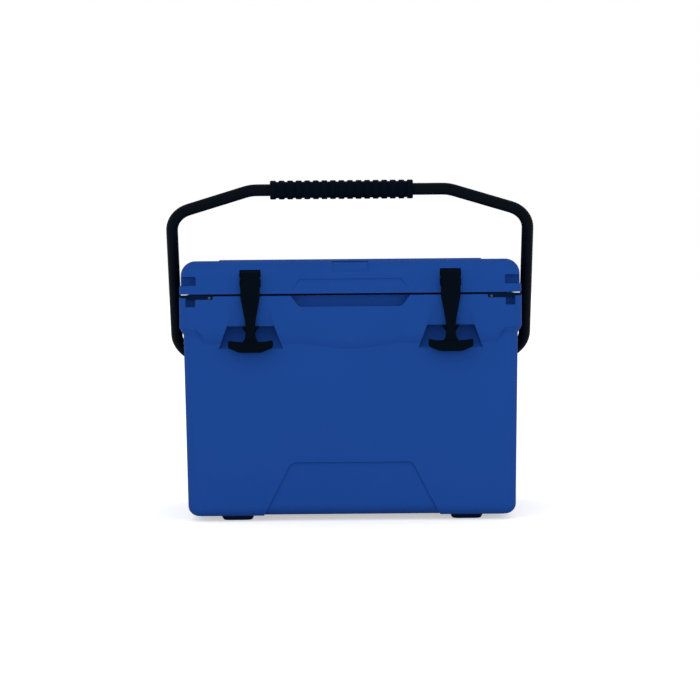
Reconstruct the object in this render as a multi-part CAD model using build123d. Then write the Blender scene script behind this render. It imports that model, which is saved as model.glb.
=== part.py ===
"""Hard-sided vaccine carrier: an insulated box with a hinged lid and a tubular bail handle.

The tub and the lid are each an outer shell, a foam core and an inner liner. The lid turns on a
rod through interleaved knuckles along the back edge. Two rubber T-latches are pinned in slots in
the lid and hook under keepers moulded in the tub's front band. The bail is a bent tube whose ends
turn in bushes at the bottom of dished recesses in the tub's sides.

Millimetres. X is the width, -Y the front, +Z up. The origin is on the floor under the middle.
"""

from build123d import *
import os
from math import acos, atan2, cos, hypot, radians, sin, tan

# ---------------------------------------------------------------- driving sizes, mm and degrees

# Tub, outside
FOOT_HEIGHT = 7.3
TUB_HEIGHT = 319.7
BAND_WIDTH = 495.2
BAND_DEPTH = 300.0
BAND_CORNER = 24.0
BAND_HEIGHT = 46.0
BAND_SLOPE = 10.0
BAND_STEP = 5.6
BAND_TOP_ROUND = 2.0
BODY_CORNER = 20.0
BODY_DRAFT = 0.85
BODY_BOTTOM_ROUND = 15.0

# Front apron below the band: its lower edge dips towards the middle
APRON_END_X = 224.0
APRON_SHOULDER_X = 211.0
APRON_DIP_X = 80.0
APRON_DROP = 22.5
APRON_DIP = 8.0
APRON_SLOPE = 11.0

# Walls and liners
SHELL_WALL = 5.5
SHELL_FLOOR = 6.5
SHELL_RIM = 6.0
LINER_WALL = 3.5
MOUTH_WIDTH = 400.0
MOUTH_DEPTH = 224.0
MOUTH_CORNER = 26.0
LINER_DRAFT = 1.0
LINER_FLOOR = 38.0
LINER_BOTTOM_ROUND = 3.0
FLANGE_WIDTH = 444.0
FLANGE_DEPTH = 252.0
FLANGE_THICK = 3.0

# Finger recess in the tub's front edge, under the lid
FINGER_TOP_HALF = 86.6
FINGER_BOTTOM_HALF = 74.0
FINGER_HEIGHT = 16.0
FINGER_DEPTH = 16.0
FINGER_ROUND = 9.0

# Recess in the front of the tub's foot
TOE_TOP = 86.0
TOE_TOP_HALF = 87.5
TOE_BOTTOM_HALF = 132.0
TOE_ROUND = 11.0
TOE_DEPTH = 2.4
TOE_REACH = 36.0

# Latches
LATCH_X = 143.7
LATCH_PIVOT_Z = 352.0
LATCH_PIVOT_IN = 3.0
LATCH_HEAD_R = 11.2
LATCH_WIDTH = 27.7
LATCH_NECK = 14.4
LATCH_NECK_Z = 292.0
LATCH_THICK = 7.0
LATCH_GAP = 1.2
TEE_WIDTH = 64.3
TEE_TOP_Z = 262.2
TEE_SIDE = 7.6
TEE_BOTTOM_Z = 245.8
TEE_CHIN = 28.0
TEE_THICK = 12.0
CATCH_WIDTH = 30.0
CATCH_HEIGHT = 8.0
CATCH_BITE = 5.0
CATCH_GAP = 0.5
SLOT_CLEAR = 1.3
PIN_R = 2.5
PIN_LENGTH = 40.0
PIN_CLEAR = 0.1

# Keeper over the finger pocket of each latch
KEEPER_Z = 283.5
POCKET_TOP_HALF = 34.0
POCKET_BOTTOM_HALF = 53.0
POCKET_R = 38.0
POCKET_OUT = 13.0
CHANNEL_HALF = 27.3
CHANNEL_FLARE = 9.0
CHANNEL_HEIGHT = 29.0
CHANNEL_DEPTH = 4.0

# Lid
LID_GAP = 2.7
LID_HEIGHT = 47.9
LID_WIDTH = 490.6
LID_DEPTH = 298.0
LID_CORNER = 27.0
LID_ROUND = 21.5
LID_WALL = 5.0
PANEL_WIDTH = 384.0
PANEL_DEPTH = 216.0
PANEL_HEIGHT = 1.4
PANEL_CORNER = 18.0
NAME_WIDTH = 52.0
NAME_LOW = 31.5
NAME_HIGH = 46.0
NAME_DEPTH = 1.0
GRIP_LEDGE_HALF = 72.0
GRIP_LEDGE_Z = 21.5
GRIP_LEDGE_DEPTH = 1.6
GRIP_LEDGE_HEIGHT = 17.0
PLUG_CLEAR = 4.0
PLUG_DROP = 13.7
PLATE_THICK = 3.5
GASKET_WIDTH = 7.0
GASKET_INSET = 3.0
GASKET_SEAT = 2.0
GASKET_GAP = 0.2

# Locking corners: a lug on the lid over a plate on the tub, both bored for a padlock
LUG_HALF = 247.2
LUG_INNER_X = 221.5
LUG_HEIGHT = 12.3
LUG_FRONT = 148.4
LUG_BACK = 126.0
LUG_CORNER = 22.0
SCOOP_X = 236.0
SCOOP_Y = 144.0
SCOOP_R = 15.0
SCOOP_HEIGHT = 13.0
SCOOP_ROUND = 2.0
LOCK_X = 229.0
LOCK_Y = 141.0
LOCK_R = 4.75
LOCK_PLATE_INNER_X = 197.5
LOCK_PLATE_DEPTH = 18.5
LOCK_PLATE_THICK = 2.5
LOCK_PLATE_PROUD = 1.6
LOCK_FLANGE = 4.9
NICHE_R = 8.2
NICHE_HEIGHT = 10.5
GROOVE_R = 24.0
GROOVE_DEPTH = 1.5
GROOVE_LOW_Z = 277.0
LOCK_SCREW_X = 202.5
LOCK_SCREW_R = 1.8
LOCK_SCREW_LENGTH = 9.0

# Hinge along the back edge
KNUCKLES = 7
KNUCKLE_LENGTH = 50.0
KNUCKLE_GAP = 1.0
KNUCKLE_R = 9.0
KNUCKLE_CLEAR = 1.0
KNUCKLE_WEB = 26.0
KNUCKLE_ROOT = 7.0
HINGE_OUT = 3.0
ROD_R = 4.0
ROD_CLEAR = 0.1
CAP_R = 6.5
CAP_THICK = 3.0

# Bail handle
PIVOT_Z = 232.0
BAIL_LEAN = 32.4
BAIL_RISE = 291.3
LEG_X = 261.5
LEG_TOP_X = 256.6
LEG_TOP = 251.5
SHOULDER_X = 141.0
TUBE_R = 8.5
TUBE_WALL = 1.5
PIVOT_BEND = 42.5
LEG_BEND = 38.0
SHOULDER_BEND = 52.0
STUB_END_X = 205.0
DISH_R = 34.0
DISH_FLOOR_R = 17.5
DISH_FLOOR_X = 215.0
BUSH_R = 12.0
BUSH_FLANGE_R = 15.5
BUSH_FLANGE = 2.0
BUSH_CLEAR = 0.1
GRIP_R = 13.5
GRIP_GROOVE_R = 11.9
GRIP_RIBS = 17
GRIP_PITCH = 12.2
GRIP_RIB = 8.6
GRIP_SHIFT = -11.4

# Feet
FOOT_X = 167.0
FOOT_Y = 97.0
FOOT_TOP = 49.0
FOOT_BOTTOM = 42.0
FOOT_CORNER = 11.0
FOOT_ROUND = 2.5
FOOT_BORE_R = 2.4
FOOT_SINK_R = 5.2
FOOT_SINK = 3.6
SCREW_HEAD_R = 4.6
SCREW_HEAD = 2.6
SCREW_GRIP = 5.2

# Drain through the right end wall
DRAIN_RISE = 13.0
DRAIN_R = 8.0
DRAIN_BUSH_R = 11.0
DRAIN_FLANGE_R = 17.0
DRAIN_FLANGE = 2.5
DRAIN_DISH_R = 25.0
DRAIN_DISH = 9.0
BUNG_LENGTH = 22.0
BUNG_TIP_R = 7.2
BUNG_HEAD_R = 14.0
BUNG_HEAD = 4.0
BUNG_CLEAR = 0.15

# ---------------------------------------------------------------- sizes worked out from those

RIM_Z = FOOT_HEIGHT + TUB_HEIGHT
BAND_LOW_Z = RIM_Z - BAND_HEIGHT
BODY_TOP_Z = BAND_LOW_Z - BAND_SLOPE
FRONT_Y = -BAND_DEPTH / 2
LID_LOW_Z = RIM_Z + LID_GAP
LID_TOP_Z = LID_LOW_Z + LID_HEIGHT
LID_FRONT_Y = -LID_DEPTH / 2
LATCH_PIVOT_Y = LID_FRONT_Y + LATCH_PIVOT_IN
LATCH_BACK_Y = FRONT_Y - LATCH_GAP
LATCH_FRONT_Y = LATCH_BACK_Y - LATCH_THICK
HINGE_Y = BAND_DEPTH / 2 + HINGE_OUT
HINGE_Z = (RIM_Z + LID_LOW_Z) / 2
LINER_FLOOR_Z = FOOT_HEIGHT + LINER_FLOOR
DRAIN_Z = LINER_FLOOR_Z + DRAIN_RISE
SIDES = (-1, 1)
FROM_BASE = (Align.CENTER, Align.CENTER, Align.MIN)


# ---------------------------------------------------------------- shared shapes

def slab(width, depth, corner, low_z, high_z):
    """A block with round vertical corners, centred on the Z axis."""
    return extrude(Pos(0, 0, low_z) * RectangleRounded(width, depth, corner), high_z - low_z)


def drafted(width, depth, corner, low_z, high_z, draft):
    """A block with round corners that narrows downwards; its stated size is that of its top."""
    inset = (high_z - low_z) * tan(radians(draft))
    low = Pos(0, 0, low_z) * RectangleRounded(width - 2 * inset, depth - 2 * inset, corner)
    high = Pos(0, 0, high_z) * RectangleRounded(width, depth, corner)
    return loft([low, high], ruled=True)


def along_x(radius, low_x, high_x, y, z):
    """A cylinder along X."""
    return extrude(Plane((low_x, y, z), x_dir=(0, 1, 0), z_dir=(1, 0, 0)) * Circle(radius), high_x - low_x)


def upright(radius, x, y, low_z, high_z):
    """A cylinder along Z."""
    return extrude(Pos(x, y, low_z) * Circle(radius), high_z - low_z)


def block(low, high):
    """A plain box between two corners."""
    size = [high[i] - low[i] for i in range(3)]
    middle = [(high[i] + low[i]) / 2 for i in range(3)]
    return Pos(*middle) * Box(*size)


def front_prism(outline, low_y, high_y):
    """A sketch drawn in X and Z, made solid between two places in Y."""
    face = Plane((0, high_y, 0), x_dir=(1, 0, 0), z_dir=(0, -1, 0)) * outline
    return extrude(face, high_y - low_y, dir=(0, -1, 0))


def side_prism(outline, low_x, high_x):
    """A sketch drawn in Y and Z, made solid between two places in X."""
    face = Plane((low_x, 0, 0), x_dir=(0, 1, 0), z_dir=(1, 0, 0)) * outline
    return extrude(face, high_x - low_x, dir=(1, 0, 0))


def trapezoid(low_half, high_half, low_z, high_z):
    """A symmetrical four-sided outline in X and Z."""
    corners = ((-low_half, low_z), (low_half, low_z), (high_half, high_z), (-high_half, high_z))
    return Polygon(*corners, align=None)


def mirrored(solid):
    """The same shape on the other side of the middle plane."""
    return mirror(solid, about=Plane.YZ)


def both_sides(solid):
    """A shape made for the right side, with its mirror image."""
    return [solid, mirrored(solid)]


def half_width_at(z):
    """Half the tub's width, below the band, at a height."""
    return BAND_WIDTH / 2 - BAND_STEP - (BODY_TOP_Z - z) * tan(radians(BODY_DRAFT))


# ---------------------------------------------------------------- tub, outside form

def plain_body(inset):
    """The drafted body below the band, or the same body with a thinner waist and a higher floor."""
    solid = drafted(BAND_WIDTH - 2 * BAND_STEP - 2 * inset, BAND_DEPTH - 2 * BAND_STEP - 2 * inset,
                    BODY_CORNER, FOOT_HEIGHT + inset, BODY_TOP_Z, BODY_DRAFT)
    return fillet(solid.edges().group_by(Axis.Z)[0], BODY_BOTTOM_ROUND)


def apron_outline(drop):
    """The front apron's outline in X and Z, with its lower edge let down by drop."""
    low = BAND_LOW_Z - drop
    shoulder = (APRON_SHOULDER_X, low)
    bottom = (0, low - APRON_DIP)
    end = (APRON_END_X, BAND_LOW_Z)
    flat = ((-1, 0), (-1, 0))
    lines = Curve() + [
        Line((-end[0], end[1]), (end[0], end[1])),
        Line(end, shoulder),
        Line(shoulder, (APRON_DIP_X, low)),
        Spline((APRON_DIP_X, low), bottom, tangents=flat),
        Spline(bottom, (-APRON_DIP_X, low), tangents=flat),
        Line((-APRON_DIP_X, low), (-shoulder[0], low)),
        Line((-shoulder[0], low), (-end[0], end[1])),
    ]
    return make_face(lines)


def apron():
    """The lower part of the front band, whose underside slopes back to the body."""
    def on_plane(y):
        return Plane((0, y, 0), x_dir=(1, 0, 0), z_dir=(0, -1, 0))

    sloped = loft([on_plane(FRONT_Y + BAND_STEP) * apron_outline(APRON_DROP),
                   on_plane(FRONT_Y) * apron_outline(APRON_DROP - APRON_SLOPE)], ruled=True)
    root = front_prism(apron_outline(APRON_DROP), FRONT_Y + BAND_STEP, FRONT_Y + 2 * BAND_STEP)
    return sloped + root


def band():
    """The band round the tub's upper edge, with its sloped underside."""
    width, depth = BAND_WIDTH - 2 * BAND_STEP, BAND_DEPTH - 2 * BAND_STEP
    slope = loft([Pos(0, 0, BODY_TOP_Z) * RectangleRounded(width, depth, BODY_CORNER),
                  Pos(0, 0, BAND_LOW_Z) * RectangleRounded(BAND_WIDTH, BAND_DEPTH, BAND_CORNER)], ruled=True)
    ring = slab(BAND_WIDTH, BAND_DEPTH, BAND_CORNER, BAND_LOW_Z, RIM_Z)
    ring = fillet(ring.edges().group_by(Axis.Z)[-1], BAND_TOP_ROUND)
    return slope + ring


def toe_recess():
    """What is cut from the foot of the front: a shallow panel that runs out under the tub."""
    outline = trapezoid(TOE_BOTTOM_HALF, TOE_TOP_HALF, 0, TOE_TOP)
    outline = fillet(outline.vertices().group_by(Axis.Y)[-1], TOE_ROUND)
    return front_prism(outline, FRONT_Y, FRONT_Y + TOE_REACH) - plain_body(TOE_DEPTH)


def latch_pocket(side):
    """The finger pocket below one keeper: a scoop with a flat roof and slanted sides."""
    outline = trapezoid(POCKET_BOTTOM_HALF, POCKET_TOP_HALF, KEEPER_Z - POCKET_R - POCKET_OUT, KEEPER_Z)
    cutter = front_prism(outline, FRONT_Y - POCKET_OUT, FRONT_Y + POCKET_R)
    scoop = along_x(POCKET_R, -POCKET_BOTTOM_HALF, POCKET_BOTTOM_HALF, FRONT_Y - POCKET_OUT, KEEPER_Z)
    return Pos(side * LATCH_X, 0, 0) * (cutter & scoop)


def keeper_channel(side):
    """The shallow flared channel in which one latch's neck lies; it deepens towards the keeper."""
    ahead = FRONT_Y - CHANNEL_FLARE

    def level(z, depth):
        wide = CHANNEL_HALF + (FRONT_Y + depth - ahead) * CHANNEL_FLARE / CHANNEL_DEPTH
        back = FRONT_Y + depth
        corners = ((-CHANNEL_HALF, back), (CHANNEL_HALF, back), (wide, ahead), (-wide, ahead))
        return Pos(side * LATCH_X, 0, z) * Polygon(*corners, align=None)

    return loft([level(KEEPER_Z - 1, CHANNEL_DEPTH), level(KEEPER_Z + CHANNEL_HEIGHT, 0)], ruled=True)


def finger_recess():
    """The recess in the tub's front edge that lets fingers under the lid."""
    low_z = RIM_Z - FINGER_HEIGHT
    outline = trapezoid(FINGER_BOTTOM_HALF, FINGER_TOP_HALF, low_z, RIM_Z + 1)
    outline = fillet(outline.vertices().group_by(Axis.Y)[0], FINGER_ROUND)
    return front_prism(outline, FRONT_Y - 1, FRONT_Y + FINGER_DEPTH)


def lock_seat(clear=0.0):
    """The right-hand step for the lock plate: a flat shelf with a rebate down the front."""
    inner = LOCK_PLATE_INNER_X - clear
    outer = BAND_WIDTH / 2 + 1
    ahead, above = FRONT_Y - 1, RIM_Z + LOCK_PLATE_PROUD + 1
    shelf = block((inner, ahead, RIM_Z - LOCK_PLATE_THICK), (outer, FRONT_Y + LOCK_PLATE_DEPTH, above))
    rebate = block((inner, ahead, RIM_Z - LOCK_FLANGE), (outer, FRONT_Y + LOCK_PLATE_THICK, above))
    return shelf + rebate


def lock_niche():
    """The right-hand niche under the lock plate, and the shallow groove that leads down from it."""
    floor_z = RIM_Z - LOCK_FLANGE - NICHE_HEIGHT
    niche = upright(NICHE_R, LOCK_X, FRONT_Y + NICHE_R - 2, floor_z, RIM_Z)
    groove = upright(GROOVE_R, LOCK_X, FRONT_Y + GROOVE_DEPTH - GROOVE_R, GROOVE_LOW_Z, RIM_Z - LOCK_FLANGE)
    return niche + groove


def pivot_dish():
    """The right-hand dished recess round the bail's pivot."""
    face_x = half_width_at(PIVOT_Z)
    depth = face_x - DISH_FLOOR_X
    slope = (DISH_R - DISH_FLOOR_R) / depth
    past = BAND_STEP
    cone = Cone(DISH_FLOOR_R, DISH_R + slope * past, depth + past, align=FROM_BASE)
    return Plane((DISH_FLOOR_X, 0, PIVOT_Z), x_dir=(0, 1, 0), z_dir=(1, 0, 0)) * cone


def drain_dish():
    """The round recess in the right end that the bung sits in."""
    face_x = half_width_at(DRAIN_Z)
    return along_x(DRAIN_DISH_R, face_x - DRAIN_DISH, face_x + 5, 0, DRAIN_Z)


def hinge_trough(radius):
    """The length of the hinge, as a cylinder about the rod with room for the rod's end caps."""
    half = hinge_span() / 2 + CAP_THICK + KNUCKLE_CLEAR
    return along_x(radius, -half, half, HINGE_Y, HINGE_Z)


# ---------------------------------------------------------------- hinge

def hinge_span():
    """The hinge's length over its knuckles."""
    return KNUCKLES * KNUCKLE_LENGTH + (KNUCKLES - 1) * KNUCKLE_GAP


def knuckle_profile(wall_y, edge_z, way):
    """One knuckle's outline in Y and Z: a round eye with a web that runs tangent to the wall."""
    tip = (wall_y, HINGE_Z + way * KNUCKLE_WEB)
    reach = hypot(tip[0] - HINGE_Y, tip[1] - HINGE_Z)
    angle = atan2(tip[1] - HINGE_Z, tip[0] - HINGE_Y) - way * acos(KNUCKLE_R / reach)
    touch = (HINGE_Y + KNUCKLE_R * cos(angle), HINGE_Z + KNUCKLE_R * sin(angle))
    root_y = wall_y - KNUCKLE_ROOT
    corners = [(wall_y - 2, tip[1]), tip, touch, (HINGE_Y, HINGE_Z), (HINGE_Y, edge_z), (root_y, edge_z)]
    web = Polygon(*corners, align=None)
    return Pos(HINGE_Y, HINGE_Z) * Circle(KNUCKLE_R) + web


def knuckles(first, wall_y, edge_z, way):
    """Every other knuckle, starting at the given one, not yet bored."""
    pitch = KNUCKLE_LENGTH + KNUCKLE_GAP
    profile = knuckle_profile(wall_y, edge_z, way)
    starts = [i * pitch - hinge_span() / 2 for i in range(first, KNUCKLES, 2)]
    return [side_prism(profile, start, start + KNUCKLE_LENGTH) for start in starts]


def hinge_rod():
    """The rod through all the knuckles."""
    half = hinge_span() / 2 + CAP_THICK - 1
    return along_x(ROD_R, -half, half, HINGE_Y, HINGE_Z)


def hinge_rod_caps():
    """The push-on cap on each end of the rod."""
    low_x = hinge_span() / 2
    cap = along_x(CAP_R, low_x, low_x + CAP_THICK, HINGE_Y, HINGE_Z)
    cap = fillet(cap.edges().group_by(Axis.X)[-1], 1.0)
    return Part() + both_sides(cap - hinge_rod())


# ---------------------------------------------------------------- tub

def tub_outside():
    """The tub's outer form, with every recess that shows."""
    solid = plain_body(0) + band() + apron()
    for side in SIDES:
        solid -= keeper_channel(side)
        solid -= latch_pocket(side)
    solid -= toe_recess()
    solid -= finger_recess()
    for cut in (lock_seat(), lock_niche(), pivot_dish()):
        solid -= cut
        solid -= mirrored(cut)
    solid -= drain_dish()
    solid -= hinge_trough(KNUCKLE_R + KNUCKLE_CLEAR)
    return solid


def tub_hollow():
    """The space between the tub's shell and its mouth, kept a wall away from every deep recess."""
    width = BAND_WIDTH - 2 * BAND_STEP - 2 * SHELL_WALL
    depth = BAND_DEPTH - 2 * BAND_STEP - 2 * SHELL_WALL
    solid = drafted(width, depth, BODY_CORNER - SHELL_WALL, FOOT_HEIGHT + SHELL_FLOOR, RIM_Z - SHELL_RIM,
                    BODY_DRAFT)
    solid = fillet(solid.edges().group_by(Axis.Z)[0], BODY_BOTTOM_ROUND - SHELL_WALL)
    front, top = FRONT_Y, RIM_Z
    pocket_half = POCKET_BOTTOM_HALF + SHELL_WALL
    pocket_back = front + POCKET_R - POCKET_OUT + SHELL_WALL
    for side in SIDES:
        middle = side * LATCH_X
        solid -= block((middle - pocket_half, front, KEEPER_Z - POCKET_R - SHELL_WALL),
                       (middle + pocket_half, pocket_back, KEEPER_Z + SHELL_WALL))
    solid -= block((-FINGER_TOP_HALF - SHELL_WALL, front, top - FINGER_HEIGHT - SHELL_WALL),
                   (FINGER_TOP_HALF + SHELL_WALL, front + FINGER_DEPTH + SHELL_WALL, top))
    niche_wall = upright(NICHE_R + SHELL_WALL, LOCK_X, front + NICHE_R - 2,
                         top - LOCK_FLANGE - NICHE_HEIGHT - SHELL_WALL, top)
    boss = along_x(BUSH_R + SHELL_WALL, boss_end_x(), DISH_FLOOR_X, 0, PIVOT_Z)
    dish = Pos(-SHELL_WALL, 0, 0) * scale_about_pivot(pivot_dish())
    for wall in (niche_wall, boss + dish):
        solid -= wall
        solid -= mirrored(wall)
    dish_back = half_width_at(DRAIN_Z) - DRAIN_DISH - SHELL_WALL
    solid -= along_x(DRAIN_DISH_R + SHELL_WALL, dish_back, BAND_WIDTH / 2, 0, DRAIN_Z)
    solid -= hinge_trough(KNUCKLE_R + KNUCKLE_CLEAR + SHELL_WALL)
    return solid


def boss_end_x():
    """Where the blind boss behind each bush ends, just short of the liner."""
    return STUB_END_X - LINER_WALL + 1


def scale_about_pivot(dish):
    """The dish grown sideways by a wall, for the space the foam must keep clear."""
    grow = (DISH_R + SHELL_WALL) / DISH_R
    middle = Pos(0, 0, PIVOT_Z)
    return middle * scale(Pos(0, 0, -PIVOT_Z) * dish, by=(1, grow, grow))


def liner_basin(grow):
    """The tub's inside, or that grown by the liner's wall."""
    solid = drafted(MOUTH_WIDTH + 2 * grow, MOUTH_DEPTH + 2 * grow, MOUTH_CORNER + grow, LINER_FLOOR_Z - grow,
                    RIM_Z, LINER_DRAFT)
    return fillet(solid.edges().group_by(Axis.Z)[0], LINER_BOTTOM_ROUND + grow)


def drain_hole():
    """The drain's way through shell, foam and liner."""
    return along_x(DRAIN_BUSH_R, MOUTH_WIDTH / 4, BAND_WIDTH / 2, 0, DRAIN_Z)


def foot_places():
    """The middle of each foot, front ones first."""
    return [(side * FOOT_X, way * FOOT_Y) for way in SIDES for side in SIDES]


def tub_shell():
    """The tub's outer shell, open under the liner's flange."""
    ledge = FLANGE_THICK
    solid = tub_outside() - tub_hollow()
    solid -= slab(FLANGE_WIDTH, FLANGE_DEPTH, MOUTH_CORNER + ledge, RIM_Z - FLANGE_THICK, RIM_Z + 1)
    solid -= slab(MOUTH_WIDTH + 4 * LINER_WALL, MOUTH_DEPTH + 4 * LINER_WALL, MOUTH_CORNER + LINER_WALL,
                  RIM_Z - SHELL_RIM - 1, RIM_Z)
    for knuckle in knuckles(0, BAND_DEPTH / 2, RIM_Z, -1):
        solid += knuckle
    solid -= hinge_rod()
    for bore in both_sides(along_x(BUSH_R, STUB_END_X - 1, DISH_FLOOR_X, 0, PIVOT_Z)):
        solid -= bore
    for screw in lock_plate_screws().solids() + foot_screws().solids():
        solid -= screw
    return solid - drain_hole()


def tub_liner():
    """The inner basin and the flange that lies on the shell's rim."""
    flange = slab(FLANGE_WIDTH, FLANGE_DEPTH, MOUTH_CORNER + FLANGE_THICK, RIM_Z - FLANGE_THICK, RIM_Z)
    solid = liner_basin(LINER_WALL) + flange - liner_basin(0)
    return solid - drain_hole()


def tub_foam():
    """The foam core between the tub's shell and liner."""
    return tub_hollow() - liner_basin(LINER_WALL) - drain_hole()


# ---------------------------------------------------------------- lid

def lid_block(inset):
    """The lid's plain rounded block, or the same block taken in on its sides and top."""
    width, depth = LID_WIDTH - 2 * inset, LID_DEPTH - 2 * inset
    solid = slab(width, depth, LID_CORNER - inset, LID_LOW_Z, LID_TOP_Z - inset)
    return fillet(solid.edges().group_by(Axis.Z)[-1], LID_ROUND - inset)


def raised_panel():
    """The low raised panel on top of the lid."""
    solid = slab(PANEL_WIDTH, PANEL_DEPTH, PANEL_CORNER, LID_TOP_Z - 1, LID_TOP_Z + PANEL_HEIGHT)
    return chamfer(solid.edges().group_by(Axis.Z)[-1], PANEL_HEIGHT - 0.2)


def name_recess():
    """The bare shallow recess over the lid's top front edge."""
    window = block((-NAME_WIDTH / 2, LID_FRONT_Y - 1, LID_LOW_Z + NAME_LOW),
                   (NAME_WIDTH / 2, 0, LID_LOW_Z + NAME_HIGH))
    return window - lid_block(NAME_DEPTH)


def grip_ledge():
    """The shallow flared scoop in the lid's front that fingertips bear on."""
    top_z = LID_LOW_Z + GRIP_LEDGE_Z
    low_z = top_z - GRIP_LEDGE_HEIGHT
    outline = Polygon((LID_FRONT_Y - 1, top_z + 0.5), (LID_FRONT_Y, top_z),
                      (LID_FRONT_Y + GRIP_LEDGE_DEPTH, top_z - GRIP_LEDGE_DEPTH),
                      (LID_FRONT_Y, low_z), (LID_FRONT_Y - 1, low_z), align=None)
    groove = side_prism(outline, -FINGER_TOP_HALF, FINGER_TOP_HALF)
    flared = trapezoid(FINGER_TOP_HALF, GRIP_LEDGE_HALF, low_z - 1, top_z + 1)
    return groove & front_prism(flared, LID_FRONT_Y - 2, LID_FRONT_Y + 2 * GRIP_LEDGE_DEPTH)


def latch_slot(side, wall):
    """One latch's slot in the lid's front, or that slot grown by a wall."""
    half = LATCH_WIDTH / 2 + SLOT_CLEAR + wall
    radius = LATCH_HEAD_R + SLOT_CLEAR + wall
    middle = side * LATCH_X
    eye = along_x(radius, middle - half, middle + half, LATCH_PIVOT_Y, LATCH_PIVOT_Z)
    mouth = block((middle - half, LID_FRONT_Y - radius, LATCH_PIVOT_Z - radius),
                  (middle + half, LATCH_PIVOT_Y, LATCH_PIVOT_Z + radius))
    return eye + mouth


def lock_lug():
    """The right-hand lug that stands out of the lid's front corner over the lock plate."""
    length, depth = LUG_HALF - LUG_INNER_X, LUG_FRONT - LUG_BACK
    outline = Pos(LUG_INNER_X + length / 2, -LUG_BACK - depth / 2) * Rectangle(length, depth)
    corner = outline.vertices().group_by(Axis.X)[-1].group_by(Axis.Y)[0]
    outline = fillet(corner, LUG_CORNER)
    lug = extrude(Pos(0, 0, LID_LOW_Z) * outline, LUG_HEIGHT)
    return fillet(lug.edges().group_by(Axis.Z)[-1], 1.2)


def lock_scoop():
    """The right-hand scoop above the lug, where a padlock's shackle comes down."""
    low_z = LID_LOW_Z + LUG_HEIGHT
    scoop = upright(SCOOP_R, SCOOP_X, -SCOOP_Y, low_z, low_z + SCOOP_HEIGHT)
    return fillet(scoop.edges().group_by(Axis.Z)[-1], SCOOP_ROUND)


def lock_bore(low_z, high_z):
    """The right-hand padlock hole."""
    return upright(LOCK_R, LOCK_X, -LOCK_Y, low_z, high_z)


def lid_hollow():
    """The space inside the lid's shell, open below, kept a wall away from every deep recess."""
    solid = lid_block(LID_WALL)
    for side in SIDES:
        solid -= latch_slot(side, LID_WALL + 1)
    scoop_top = LID_LOW_Z + LUG_HEIGHT + SCOOP_HEIGHT
    corner = block((SCOOP_X - SCOOP_R - LID_WALL, -LID_DEPTH, LID_LOW_Z - 1),
                   (LID_WIDTH, -SCOOP_Y + SCOOP_R + LID_WALL, scoop_top + LID_WALL))
    for wall in both_sides(corner):
        solid -= wall
    return solid - hinge_trough(KNUCKLE_R + KNUCKLE_CLEAR + LID_WALL)


def lid_shell():
    """The lid's outer shell with its lugs, latch slots and hinge knuckles."""
    solid = lid_block(0) + raised_panel()
    for lug in both_sides(lock_lug()):
        solid += lug
    solid -= name_recess()
    solid -= grip_ledge()
    bore = lock_bore(LID_LOW_Z - 1, LID_LOW_Z + LUG_HEIGHT + SCOOP_HEIGHT / 2)
    for scoop in both_sides(lock_scoop()) + both_sides(bore):
        solid -= scoop
    for side in SIDES:
        solid -= latch_slot(side, 0)
    solid -= lid_hollow()
    solid -= hinge_trough(KNUCKLE_R + KNUCKLE_CLEAR)
    for knuckle in knuckles(1, LID_DEPTH / 2, LID_LOW_Z, 1):
        solid += knuckle
    solid -= along_x(ROD_R + ROD_CLEAR, -BAND_WIDTH / 2, BAND_WIDTH / 2, HINGE_Y, HINGE_Z)
    for side in SIDES:
        solid -= latch_pin(side)
    return solid


def lid_plug(grow):
    """The part of the lid's liner that sits in the tub's mouth, or that taken in by its wall."""
    low_z = LID_LOW_Z - PLUG_DROP + LINER_WALL * (grow < 0)
    high_z = LID_LOW_Z + PLATE_THICK
    width, depth = MOUTH_WIDTH - 2 * PLUG_CLEAR + 2 * grow, MOUTH_DEPTH - 2 * PLUG_CLEAR + 2 * grow
    return drafted(width, depth, MOUTH_CORNER - PLUG_CLEAR + grow, low_z, high_z, 3 * LINER_DRAFT)


def gasket_ring(low_z, high_z):
    """The lid's seal ring between two heights."""
    width, depth = FLANGE_WIDTH - 2 * GASKET_INSET, FLANGE_DEPTH - 2 * GASKET_INSET
    ring = slab(width, depth, MOUTH_CORNER, low_z, high_z)
    inside = 2 * GASKET_WIDTH
    return ring - slab(width - inside, depth - inside, MOUTH_CORNER - GASKET_WIDTH, low_z, high_z)


def lid_liner():
    """The lid's underside: a plate with a shallow hollow plug and a groove for the seal."""
    level = block((-LID_WIDTH, -LID_DEPTH, LID_LOW_Z), (LID_WIDTH, LID_DEPTH, LID_LOW_Z + PLATE_THICK))
    plate = lid_hollow() & level
    solid = plate + lid_plug(0) - lid_plug(-LINER_WALL)
    return solid - gasket_ring(LID_LOW_Z - 1, LID_LOW_Z + GASKET_SEAT)


def lid_foam():
    """The foam core of the lid."""
    above = lid_hollow() - block((-LID_WIDTH, -LID_DEPTH, 0), (LID_WIDTH, LID_DEPTH, LID_LOW_Z + PLATE_THICK))
    return above + lid_plug(-LINER_WALL)


def lid_gasket():
    """The soft seal that closes on the tub's flange."""
    return gasket_ring(RIM_Z + GASKET_GAP, LID_LOW_Z + GASKET_SEAT)


# ---------------------------------------------------------------- latches and locks

def latch_pin(side):
    """The steel pin that holds one latch in its slot."""
    middle = side * LATCH_X
    return along_x(PIN_R, middle - PIN_LENGTH / 2, middle + PIN_LENGTH / 2, LATCH_PIVOT_Y, LATCH_PIVOT_Z)


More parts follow.
